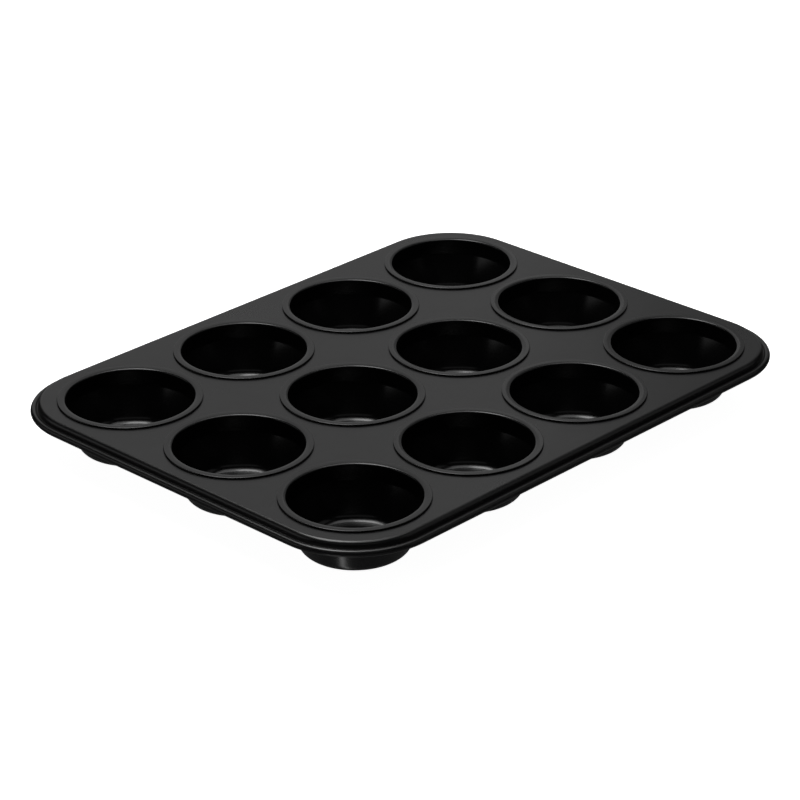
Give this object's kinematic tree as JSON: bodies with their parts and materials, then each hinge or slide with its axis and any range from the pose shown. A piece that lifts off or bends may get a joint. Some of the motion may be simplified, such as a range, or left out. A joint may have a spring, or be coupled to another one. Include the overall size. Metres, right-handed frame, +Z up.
{
  "type": "muffin tin",
  "caption": "Rectangular bakeware tray with a grid of round tapered cups seamed into a flat sheet frame, and a rolled edge stiffened by a wire inside it.",
  "frame": {"origin": "on the surface the cups stand on, under the middle of the tin", "axes": "+X along the rows of four cups (the long side), +Y along the short side, +Z up"},
  "size_m": [0.35, 0.2672, 0.0292],
  "materials": {
    "frame_coating": "satin black non-stick coating on sheet steel, fine even grain, soft reflections",
    "cup_coating": "satin black non-stick coating on drawn sheet steel, slightly smoother than the frame",
    "wire_steel": "bare drawn steel wire, dull grey with fine lines along its length"
  },
  "bodies": {
    "root": {"frame": "frame_coating", "rim_wire": "wire_steel", "cup_a1": "cup_coating", "cup_a2": "cup_coating", "cup_a3": "cup_coating", "cup_b1": "cup_coating", "cup_b2": "cup_coating", "cup_b3": "cup_coating", "cup_c1": "cup_coating", "cup_c2": "cup_coating", "cup_c3": "cup_coating", "cup_d1": "cup_coating", "cup_d2": "cup_coating", "cup_d3": "cup_coating"}
  },
  "joints": []
}
